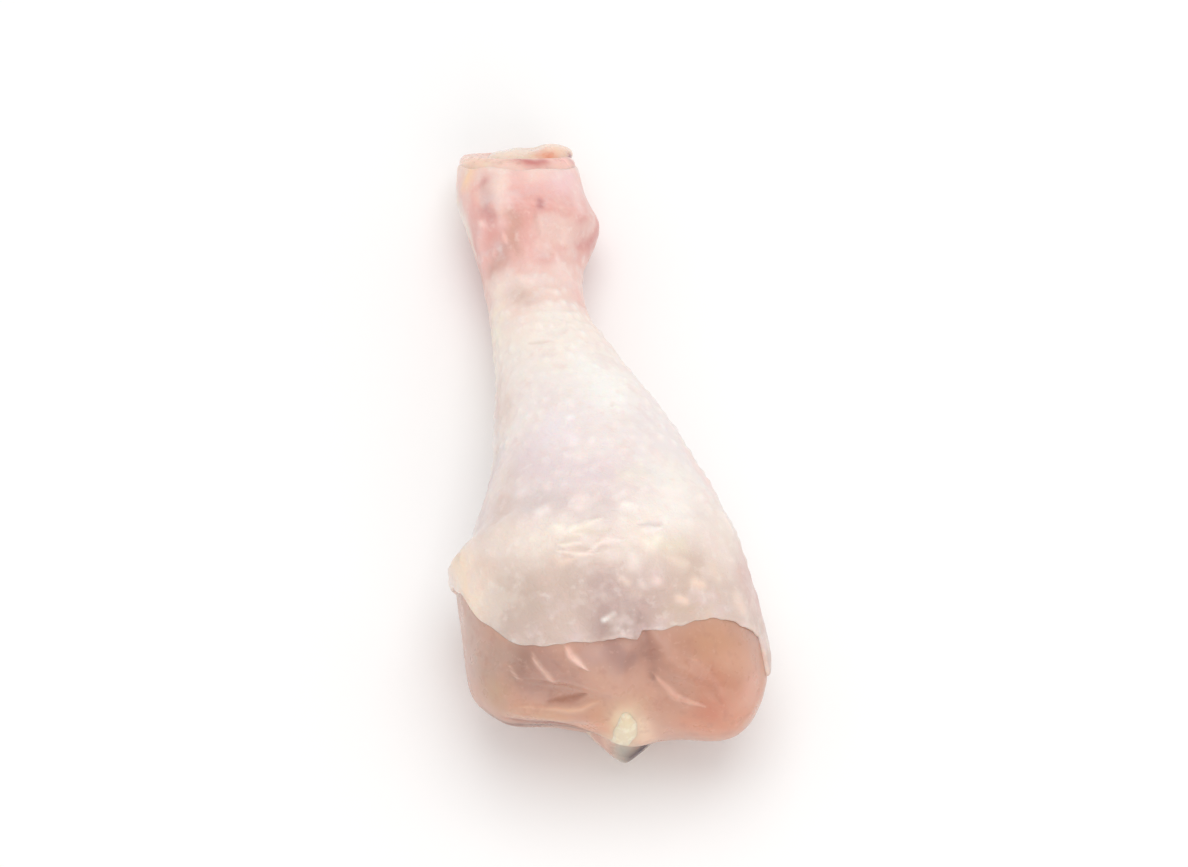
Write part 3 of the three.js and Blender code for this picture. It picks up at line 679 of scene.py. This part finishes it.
# Patches of colour, dents and bumps: path, reach, out, colour, cover
SKIN_PATCHES = [
    # the body
    ([(-26.6, 27.5, 33.1), (-26.8, 32.6, 32.2), (-27.6, 37.0, 30.7)], 4.6, 0, (255, 227, 204), 0.95),  # flap
    ([(-20.4, 25.5, 39.5), (-15.0, 22.5, 41.9), (-9.5, 22.8, 43.6)], 5.4, 0, (200, 177, 164), 0.8),
    ([(-21.6, 19.6, 37.6), (-15.0, 15.4, 40.4)], 3.6, 0, (206, 184, 173), 0.6),
    # The next patch is painted shade on the lower belly, where the skin turns down towards the knee.
    ([(-3.0, 20.5, 43.6), (-2.0, 15.0, 41.8), (3.0, 17.5, 42.5)], 5.4, 0, (186, 157, 152), 0.82),
    ([(-11.0, 24.0, 43.0), (-10.0, 16.0, 41.6)], 4.0, 0, (220, 198, 186), 0.5),
    ([(14.0, 18.3, 39.9), (9.0, 15.6, 41.0), (14.0, 25.0, 41.0)], 4.4, 0, (210, 185, 170), 0.75),
    ([(24.6, 29.6, 27.7), (25.7, 21.8, 26.5)], 3.6, 0, (222, 186, 180), 0.9),  # pink right edge
    ([(23.3, 25.4, 31.8), (23.7, 20.8, 31.3)], 2.6, 0, (218, 187, 180), 0.8),
    ([(19.6, 27.7, 36.8), (18.2, 30.2, 38.1)], 3.4, 0, (241, 223, 214), 0.7),
    ([(-2.5, 14.8, 41.8), (0.8, 14.4, 41.6)], 2.6, 0, (174, 146, 138), 0.95),
    ([(-20.6, 38.1, 39.2), (-17.6, 44.1, 37.0), (-15.9, 50.3, 35.2)], 4.8, 0, (222, 199, 190), 0.85),
    ([(-11.9, 40.9, 42.4), (-6.5, 37.6, 44.9), (-0.9, 37.0, 45.2)], 4.0, 0, (218, 201, 198), 0.8),
    ([(16.4, 16.4, 38.4)], 3.0, 0, (227, 205, 191), 0.6),
    ([(-2.2, 53.6, 40.3)], 3.0, 0, (236, 224, 221), 0.6),
    ([(-23.4, 31.7, 37.3)], 3.0, 0, (234, 206, 190), 0.6),
    ([(20.5, 45.0, 29.3), (18.0, 51.5, 29.5)], 2.6, 0, (244, 216, 212), 0.8),
    ([(-13.2, 54.8, 35.3), (-11.0, 48.0, 40.0), (0.5, 44.4, 43.4)], 4.6, 0, (233, 216, 217), 0.85),
    ([(-7.0, 57.0, 38.2)], 4.0, 0, (244, 232, 236), 0.6),
    ([(4.0, 43.3, 43.2), (7.2, 44.3, 42.1)], 2.2, 0, (243, 230, 218), 0.7),
    # The next patch is painted light: the lit right side of the belly with its soft sheen.
    ([(12.0, 36.0, 42.2), (13.5, 44.0, 38.8)], 4.6, 0, (252, 241, 234), 0.9),  # bright side of the belly
    ([(5.0, 62.0, 36.0), (3.0, 72.0, 31.0)], 4.6, 0, (255, 250, 244), 0.8),
    ([(-18.8, 36.4, 40.5), (-12.6, 34.1, 43.8)], 3.0, 0, (238, 220, 208), 0.6),
    # The next patch is partly the skin's mauve tone and partly painted shade on the left flank, turned away
    # from the light.
    ([(-22.0, 43.0, 30.0), (-19.4, 50.0, 28.0), (-16.4, 60.0, 25.0)], 3.6, 0, (222, 200, 198), 0.7),  # mauve
    ([(-14.6, 64.4, 28.3), (-14.2, 68.4, 26.8)], 3.0, 0, (234, 210, 200), 0.75),
    ([(-15.4, 66.5, 22.9), (-14.4, 74.0, 20.4)], 3.2, 0, (232, 206, 196), 0.7),
    # The next patch is the neck's cream skin and partly a painted soft highlight.
    ([(-3.4, 80.2, 27.8), (-2.0, 86.0, 24.6)], 4.0, 0, (255, 243, 234), 0.9),  # neck
    ([(3.1, 94.8, 17.8), (3.8, 91.2, 17.7)], 2.4, 0, (239, 196, 189), 0.8),
    ([(-11.6, 95.6, 18.6), (-11.6, 92.0, 18.4)], 2.0, 0, (250, 226, 212), 0.8),
    ([(-12.8, 90.2, 17.7), (-13.2, 86.0, 18.6)], 2.6, 0, (255, 240, 220), 1),
    ([(-8.6, 94.2, 21.0), (-6.8, 91.2, 22.2)], 2.2, -0.15, (217, 186, 175), 0.9),
    ([(-7.9, 97.0, 20.6), (-5.4, 96.2, 21.2)], 0.8, 0.3, (250, 214, 204), 0.85),
    ([(-0.9, 92.6, 21.4)], 0.7, 0.2, (255, 234, 226), 0.8),
    ([(0.6, 98.1, 19.6)], 2.4, 0, (250, 221, 214), 0.7),
    ([(0.4, 101.0, 19.8), (0.5, 100.0, 19.6)], 0.7, 0.25, (250, 222, 216), 0.9),
    # the ankle
    ([(-11.5, 117.4, 21.4), (-11.8, 114.1, 21.8), (-11.1, 111.0, 21.3)], 2.0, -0.3, (212, 151, 146), 1),
    ([(-11.4, 112.0, 21.6), (-11.4, 113.4, 21.8)], 1.2, -0.1, (217, 167, 163), 0.8),
    ([(-12.9, 118.4, 20.0), (-12.7, 114.6, 20.4)], 1.2, 0, (240, 178, 168), 0.9),
    ([(-7.2, 107.9, 22.3), (-7.7, 105.6, 21.0)], 1.5, -0.2, (220, 170, 154), 0.7),
    ([(-4.2, 110.6, 24.2), (-4.8, 107.4, 22.6)], 2.8, -0.1, (230, 174, 164), 0.8),
    ([(-1.5, 109.8, 24.0), (-1.3, 110.6, 24.1)], 0.8, 0, (190, 132, 132), 0.8),
    ([(-9.9, 103.9, 19.5), (-10.7, 101.7, 18.5), (-12.0, 100.9, 17.0)], 1.8, -0.2, (216, 171, 161), 1),
    ([(-12.9, 109.5, 18.6), (-13.6, 106.4, 16.4), (-13.3, 103.6, 15.4)], 1.6, 0.3, (243, 197, 190), 0.9),
    ([(-12.7, 110.1, 19.2)], 0.8, 0.35, (252, 216, 208), 0.95),
    ([(6.2, 106.6, 18.4), (5.8, 104.6, 17.4), (8.1, 106.4, 13.4)], 3.0, 0, (216, 156, 151), 0.97),
    ([(5.2, 117.4, 19.9), (3.4, 115.0, 21.7)], 3.0, 0, (244, 206, 206), 0.9),
    ([(6.6, 115.3, 18.8), (6.2, 110.2, 20.4)], 1.8, 0, (244, 206, 201), 0.8),
    ([(2.6, 107.5, 21.7), (-0.4, 104.4, 20.9), (-1.5, 101.7, 20.4)], 2.4, 0, (222, 166, 158), 0.82),
    ([(-9.2, 108.7, 21.4)], 1.4, 0, (244, 206, 200), 0.8),
    ([(-7.7, 110.0, 23.0), (-6.1, 107.6, 22.1), (-7.7, 105.8, 20.9), (-6.8, 102.5, 20.4)], 1.2, -0.15,
     (218, 170, 156), 0.75),  # tan wrinkle
    ([(-7.2, 120.0, 22.0), (-8.0, 115.3, 23.2), (-8.8, 111.0, 22.8)], 1.6, 0.25, (248, 211, 200), 0.9),
    ([(-1.3, 117.4, 22.8)], 2.4, 0, (250, 214, 204), 0.8),
    ([(-13.1, 122.3, 18.8), (-13.9, 119.8, 18.4)], 1.7, 0.2, (254, 212, 178), 1),  # peach corner
    # lifted flecks and fatty bumps
    ([(-3.7, 16.3, 42.2), (-2.8, 16.8, 42.4), (-2.0, 17.2, 42.5)], 0.45, 0.35, (248, 240, 234), 0.9),
    ([(6.2, 29.6, 44.4), (7.4, 29.0, 44.0), (8.2, 29.6, 43.7)], 1.5, 0.25, (252, 240, 224), 0.8),
    ([(2.9, 26.5, 44.6), (3.3, 25.8, 44.5)], 1.5, 0.35, (240, 226, 218), 0.85),
    ([(9.8, 28.4, 43.2), (12.8, 28.9, 41.8)], 1.5, -0.15, (234, 220, 200), 0.7),
    ([(10.6, 25.8, 42.7), (12.2, 25.1, 42.1)], 1.3, 0.25, (238, 218, 202), 0.7),
    ([(6.8, 22.0, 43.2)], 1.0, 0.25, (246, 220, 212), 0.85),
    ([(13.6, 21.5, 40.8), (15.0, 21.1, 40.0)], 1.1, 0.3, (246, 220, 202), 0.8),
    ([(10.3, 18.5, 41.5), (11.2, 18.1, 41.1)], 0.9, 0.3, (244, 216, 200), 0.8),
    ([(17.4, 24.4, 38.6), (18.3, 23.2, 37.9)], 1.4, 0.2, (238, 216, 200), 0.6),
    ([(4.2, 21.4, 43.6)], 1.1, 0.2, (228, 208, 200), 0.7),
    ([(0.2, 23.0, 44.2), (1.0, 22.2, 44.0)], 0.8, 0.2, (232, 210, 198), 0.7),
    ([(3.0, 37.0, 44.7), (5.4, 36.5, 44.3)], 1.0, 0.3, (255, 244, 238), 0.8),
    ([(21.6, 36.9, 32.5), (22.0, 35.6, 32.2)], 1.1, 0.35, (255, 238, 228), 0.8),
    ([(21.3, 19.6, 34.6), (21.9, 18.0, 33.8)], 1.4, 0.2, (242, 218, 204), 0.7),
    ([(-3.5, 58.7, 38.4)], 0.9, 0.25, (255, 248, 246), 0.85),
    ([(-4.5, 53.9, 39.9), (-4.0, 53.2, 40.2)], 1.1, 0.2, (250, 238, 240), 0.8),
    ([(-11.2, 38.9, 43.7), (-12.2, 38.4, 43.3)], 1.0, 0.25, (250, 238, 234), 0.85),
    ([(-14.8, 44.6, 39.6)], 1.2, 0.25, (242, 230, 232), 0.8),
    ([(-4.9, 38.0, 45.0), (-4.2, 40.0, 44.5)], 1.1, 0.15, (248, 230, 224), 0.6),
    ([(17.4, 53.1, 29.6)], 0.9, 0.4, (255, 242, 232), 0.85),
    ([(15.6, 57.4, 29.0)], 0.9, 0.4, (255, 244, 238), 0.85),
    ([(25.9, 13.8, 24.6), (25.7, 12.8, 23.6)], 0.9, 0.4, (242, 236, 224), 0.95),  # fat at the right corner
]
# Wrinkles that stand out and creases between them, in the same terms
SKIN_LINES = [
    # across the belly: the pale ridges' colours are partly painted highlights, and the darker creases'
    # colours are painted shade
    ([(-12.4, 34.4, 43.9), (-10.2, 35.0, 44.4), (-8.2, 33.9, 44.9), (-5.5, 33.5, 45.2), (-3.6, 34.3, 45.3),
      (-0.6, 35.1, 45.3)], 1.0, 0.25, (252, 240, 226), 0.85),
    ([(-11.6, 32.7, 44.2), (-8.4, 32.3, 44.8), (-5.2, 31.7, 45.1)], 0.6, -0.18, (230, 214, 200), 0.8),
    ([(-7.8, 32.7, 44.9), (-4.2, 32.2, 45.2)], 0.5, 0.2, (250, 234, 220), 0.8),
    ([(-10.4, 31.5, 44.4), (-7.5, 30.9, 44.9), (-5.0, 30.5, 45.1)], 0.5, 0.22, (248, 230, 218), 0.85),
    ([(-10.2, 30.8, 44.4), (-7.7, 30.1, 44.8), (-5.9, 29.7, 45.0), (-2.8, 29.4, 45.2)], 0.5, -0.2,
     (226, 204, 192), 0.8),
    ([(-11.4, 30.4, 44.2), (-8.8, 29.6, 44.7), (-7.2, 28.8, 44.8), (-5.0, 28.4, 45.0),
      (-2.4, 28.3, 45.0)], 0.65, 0.28, (248, 228, 216), 0.85),
    ([(-10.4, 29.2, 44.3), (-7.3, 28.3, 44.7)], 0.45, -0.15, (228, 206, 194), 0.7),
    ([(-12.0, 29.6, 43.9), (-9.9, 27.8, 44.3), (-6.9, 27.8, 44.7)], 0.9, 0.2, (238, 212, 196), 0.8),
    ([(-4.9, 29.0, 45.1), (-1.9, 30.0, 45.2), (-0.3, 30.3, 45.2), (2.0, 29.9, 45.1)], 0.7, 0.28,
     (250, 232, 222), 0.9),
    ([(-5.0, 28.0, 45.0), (-2.2, 29.1, 45.1), (1.8, 28.9, 45.0)], 0.5, -0.18, (220, 198, 190), 0.75),
    ([(-7.2, 32.7, 45.1), (-4.6, 33.4, 45.3), (-2.2, 32.3, 45.3), (1.0, 33.0, 45.3)], 0.75, -0.14,
     (232, 216, 200), 0.8),
    ([(5.0, 32.5, 44.7), (7.8, 33.1, 44.0), (10.0, 33.3, 43.3)], 0.5, -0.3, (222, 208, 206), 0.85),
    ([(5.4, 31.7, 44.6), (9.6, 32.2, 43.4)], 0.6, 0.25, (255, 246, 240), 0.7),
    ([(-6.0, 26.2, 44.7), (-2.0, 25.6, 44.8), (1.4, 26.0, 44.7)], 0.6, -0.2, (214, 190, 180), 0.6),
    ([(0.0, 20.6, 43.8), (4.0, 19.6, 43.2), (9.0, 20.2, 42.2)], 0.7, -0.22, (210, 184, 172), 0.7),
    ([(7.0, 17.0, 41.9), (12.0, 16.6, 40.6), (17.0, 18.0, 38.6)], 0.7, -0.2, (212, 188, 170), 0.6),
    ([(-8.3, 80.4, 26.8), (-5.8, 79.6, 28.0), (-3.0, 78.8, 28.8)], 0.6, -0.25, (232, 212, 202), 0.8),
    ([(-8.6, 77.8, 28.2), (-4.6, 77.0, 29.4)], 0.5, 0.15, (255, 244, 238), 0.6),
    # along the ankle
    ([(-16.0, 121.4, 15.0), (-16.2, 117.0, 13.6), (-15.7, 112.2, 13.2), (-14.7, 105.6, 12.8)], 2.6, 0.1,
     (242, 230, 220), 0.8),  # pale rim
    ([(-14.6, 123.8, 17.0), (-9.0, 121.9, 21.4), (-3.0, 120.6, 22.6), (6.4, 119.8, 18.4)], 0.8, 0.2,
     (255, 230, 216), 0.9),  # cut edge
    ([(1.8, 109.6, 23.6), (2.8, 105.0, 20.6), (2.6, 102.4, 19.6)], 0.9, 0.15, (240, 194, 187), 0.6),
    ([(-2.6, 109.0, 23.6), (-2.4, 104.6, 21.2)], 0.6, -0.25, (226, 172, 162), 0.8),
    ([(0.4, 109.4, 24.0), (1.0, 105.6, 21.8)], 0.6, -0.2, (230, 178, 170), 0.7),
    ([(-9.4, 107.0, 20.6), (-9.0, 104.6, 20.0)], 0.6, 0.3, (244, 200, 190), 0.8),
    ([(-11.6, 105.4, 18.8), (-11.4, 102.8, 18.2)], 0.5, 0.3, (240, 196, 188), 0.8),
]

# Goose bumps
BUMP_ROW, BUMPS_ROUND = 3.1, 38  # mm between rows, and how many go round the leg
BUMP_ROWS = 64  # after which their moves and heights repeat
BUMP_MOVE = 0.24  # how far one may be moved, as a share of a step
BUMP_LOWEST = 0.25  # how high the lowest is, as a share of the highest
BUMP_SEED = 5
BUMP_HALF_WIDTH, BUMP_HEIGHT = 0.95, 0.5
BUMP_TINT, BUMP_COVER = (255, 248, 243), 0.7

# They stand out more in some places than in others, and less at the knee's cut and the ankle
BUMP_PLENTY, BUMP_PLENTY_WAVES = 0.75, [(0.5, 16, 1, 55)]
BUMPS_KEPT_AT_KNEE, KNEE_BUMP_FADES = 0.3, (20, 36)
BUMPS_LOST_AT_ANKLE, ANKLE_BUMP_FADES = 0.85, (88, 104)


def goose_bumps(angle, along):
    """How far each point is up a goose bump, from 0 to 1. The bumps are bell curves on a lattice whose
    odd rows are shifted by half a step. Each is moved a little and has its own height."""
    random = np.random.default_rng(BUMP_SEED)
    moves = random.uniform(-BUMP_MOVE, BUMP_MOVE, (BUMP_ROWS, BUMPS_ROUND, 2))
    heights = random.uniform(BUMP_LOWEST, 1.0, (BUMP_ROWS, BUMPS_ROUND))
    middle = leg_form(angle, along)
    girth = 2 * np.pi * np.hypot(middle[..., 0] - middle[..., 0].mean(1, keepdims=True),
                                 middle[..., 2] - middle[..., 2].mean(1, keepdims=True))
    row = along / BUMP_ROW
    column = angle / (2 * np.pi) * BUMPS_ROUND
    nearest = np.zeros(angle.shape)
    for row_step, column_step in itertools.product((-1, 0, 1), repeat=2):
        bump_row = np.round(row) + row_step
        shift = 0.5 * (bump_row % 2)
        bump_column = np.round(column - shift) + column_step
        place = (bump_row.astype(int) % BUMP_ROWS, bump_column.astype(int) % BUMPS_ROUND)
        lengthwise = (row - bump_row - moves[place][..., 0]) * BUMP_ROW
        across = (column - shift - bump_column - moves[place][..., 1]) * girth / BUMPS_ROUND
        bump = heights[place] * np.exp(-(lengthwise**2 + across**2) / BUMP_HALF_WIDTH**2)
        nearest = np.maximum(nearest, bump)
    return nearest


def skin_points():
    """Points of the skin, the ones that its marks go by, how far up a goose bump each is, and how much
    of an outside point each is. The rows run along the outside from the knee's cut edge, round the ankle's
    edge, back along the inside, and round the knee's edge. Both edges are half-round."""
    angle = np.linspace(0, 2 * np.pi, SKIN_COLUMNS, endpoint=False)
    cut = knee_cut(angle)
    ankle_end = SKIN_ANKLE_END + waves(circle_of_nicks(angle), ANKLE_NICKS)

    radius = SKIN_THICKNESS / 2
    outside = np.linspace(0, 1, SKIN_ROWS["outside"])
    outside = outside - SKIN_ROW_CROWDING * outside * (1 - outside)
    turn = np.linspace(0, np.pi, SKIN_ROWS["edge"] + 2)[1:-1]
    inside = np.linspace(1, 0, SKIN_ROWS["inside"])
    share = np.concatenate([outside, np.ones(len(turn)), inside, np.zeros(len(turn))])
    past_edge = np.concatenate([np.zeros(len(outside)), np.sin(turn),
                                np.zeros(len(inside)), -np.sin(turn)])
    depth = radius * np.concatenate([np.zeros(len(outside)), 1 - np.cos(turn),
                                     np.full(len(inside), 2.0), 1 + np.cos(turn)])
    share, past_edge, depth = share[:, None], past_edge[:, None], depth[:, None]
    start, end = cut + radius, ankle_end - radius
    along = start + (end - start) * share + radius * past_edge
    angle = np.broadcast_to(angle, along.shape)

    outward = leg_outward(angle, along)
    form = leg_form(angle, along)
    shown = 1 - depth / SKIN_THICKNESS
    near_edge = 1 - fade(0, EDGE_LENGTH, along - cut)
    lift = near_edge * (waves(form, EDGE_WAVES) - EDGE_SINK - EDGE_THINNING * shown)
    plenty = np.clip(BUMP_PLENTY + waves(form, BUMP_PLENTY_WAVES), 0, 1)
    plenty = plenty * (BUMPS_KEPT_AT_KNEE + (1 - BUMPS_KEPT_AT_KNEE) * fade(*KNEE_BUMP_FADES, along))
    plenty = plenty * (1 - BUMPS_LOST_AT_ANKLE * fade(*ANKLE_BUMP_FADES, along))
    bumps = goose_bumps(angle, along) * plenty
    relief = waves(form, SKIN_WAVES) + BUMP_HEIGHT * bumps
    relief = relief * (1 - ANKLE_RELIEF_LOST * fade(*ANKLE_RELIEF_FADES, along))
    places = wandered(form, **SKIN_WANDER)
    relief = relief + marks_relief(places, SKIN_PATCHES) + marks_relief(places, SKIN_LINES, tapered=True)
    points = form + (lift + relief * shown - depth)[..., None] * outward
    points[..., 2] = np.maximum(points[..., 2], depth)
    return points, places, bumps, shown


points, places, bumps, shown = skin_points()
tint = np.stack([np.interp(places[..., 1], SKIN_TINTS[:, 0], linear(SKIN_TINTS[:, channel]))
                 for channel in (1, 2, 3)], axis=-1)
tint = laid_over(tint, BUMP_TINT, BUMP_COVER * bumps)
tint = with_marks(tint, places, SKIN_PATCHES)
tint = with_marks(tint, places, SKIN_LINES, tapered=True)
tint = laid_over(tint, FAT_TINT, FAT_COVER * (1 - shown))
skin = make_piece("chicken_skin", points, tint, tube=True)
skin.data.materials.append(moist_tissue(
    "raw_skin",
    mottles=[(9.0, (252, 240, 228), 0.35, 0.45, 0.65), (4.5, (228, 206, 208), 0.3, 0.5, 0.7),
             (2.2, (255, 246, 240), 0.2, 0.55, 0.72), (2.6, (236, 200, 192), 0.18, 0.55, 0.72)],
    grains=[("cracks", 1.1, 0.03, (1, 1, 1)), ("noise", 1.6, 0.08, (1, 1, 1)),
            ("noise", 0.4, 0.015, (1, 1, 1))],
    gloss={"wet": 0.34, "dry": 0.52, "film": 0.2},
    soak={"share": 0.35, "reach": (1.2, 0.7, 0.5)}))
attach(skin, "root")
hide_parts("skin")


# ---- Table, light and camera ----
# A plain white table under a wide soft lamp that hangs a little behind the drumstick, with a weaker lamp in
# front and white walls all round. The camera looks down from beyond the knee. All of it is in metres.
TABLE_HALF = 3.0
TABLE_DROP = 0.0001  # just below what rests on it
TABLE_COLOUR, TABLE_ROUGHNESS = (0.97, 0.97, 0.97, 1), 0.9
WALL_COLOUR, WALL_GLOW = (1, 0.99, 0.98, 1), 0.68
LAMPS = [
    # name, place, size, watts
    ("top_lamp", (0.12, 0.25, 1.15), 0.9, 5.0),
    ("front_lamp", (0.1, -0.95, 0.6), 0.8, 2.7),
]
CAMERA_TARGET = Vector((0.0034, -0.0032, 0.020))
CAMERA_DISTANCE = 0.9
CAMERA_AZIMUTH, CAMERA_ELEVATION = math.radians(9), math.radians(66)
CAMERA_LENS, CAMERA_SENSOR = 144.55, 36  # mm

mesh = bpy.data.meshes.new("table")
table_corners = [(x * TABLE_HALF, y * TABLE_HALF, -TABLE_DROP)
                 for x, y in ((-1, -1), (1, -1), (1, 1), (-1, 1))]
mesh.from_pydata(table_corners, [], [(0, 1, 2, 3)])
table = bpy.data.objects.new("table", mesh)
bpy.context.scene.collection.objects.link(table)
white = bpy.data.materials.new("white_table")
white.use_nodes = True
white.node_tree.nodes["Principled BSDF"].inputs["Base Color"].default_value = TABLE_COLOUR
white.node_tree.nodes["Principled BSDF"].inputs["Roughness"].default_value = TABLE_ROUGHNESS
table.data.materials.append(white)

world = bpy.data.worlds.new("white_walls")
world.use_nodes = True
world.node_tree.nodes["Background"].inputs["Color"].default_value = WALL_COLOUR
world.node_tree.nodes["Background"].inputs["Strength"].default_value = WALL_GLOW
bpy.context.scene.world = world

for name, place, size, watts in LAMPS:
    light = bpy.data.lights.new(name, "AREA")
    light.shape = "SQUARE"
    light.size = size
    light.energy = watts
    lamp = bpy.data.objects.new(name, light)
    lamp.location = place
    lamp.rotation_euler = (-Vector(place)).to_track_quat("-Z", "Y").to_euler()
    bpy.context.scene.collection.objects.link(lamp)

camera = bpy.data.objects.new("camera", bpy.data.cameras.new("camera"))
camera.data.lens = CAMERA_LENS
camera.data.sensor_width = CAMERA_SENSOR
camera.data.clip_start = 0.01
looking = Vector((math.sin(CAMERA_AZIMUTH) * math.cos(CAMERA_ELEVATION),
                  math.cos(CAMERA_AZIMUTH) * math.cos(CAMERA_ELEVATION),
                  -math.sin(CAMERA_ELEVATION)))
camera.location = CAMERA_TARGET - looking * CAMERA_DISTANCE
camera.rotation_euler = looking.to_track_quat("-Z", "Y").to_euler()
bpy.context.scene.collection.objects.link(camera)
bpy.context.scene.camera = camera
bpy.context.scene.view_settings.view_transform = "Standard"
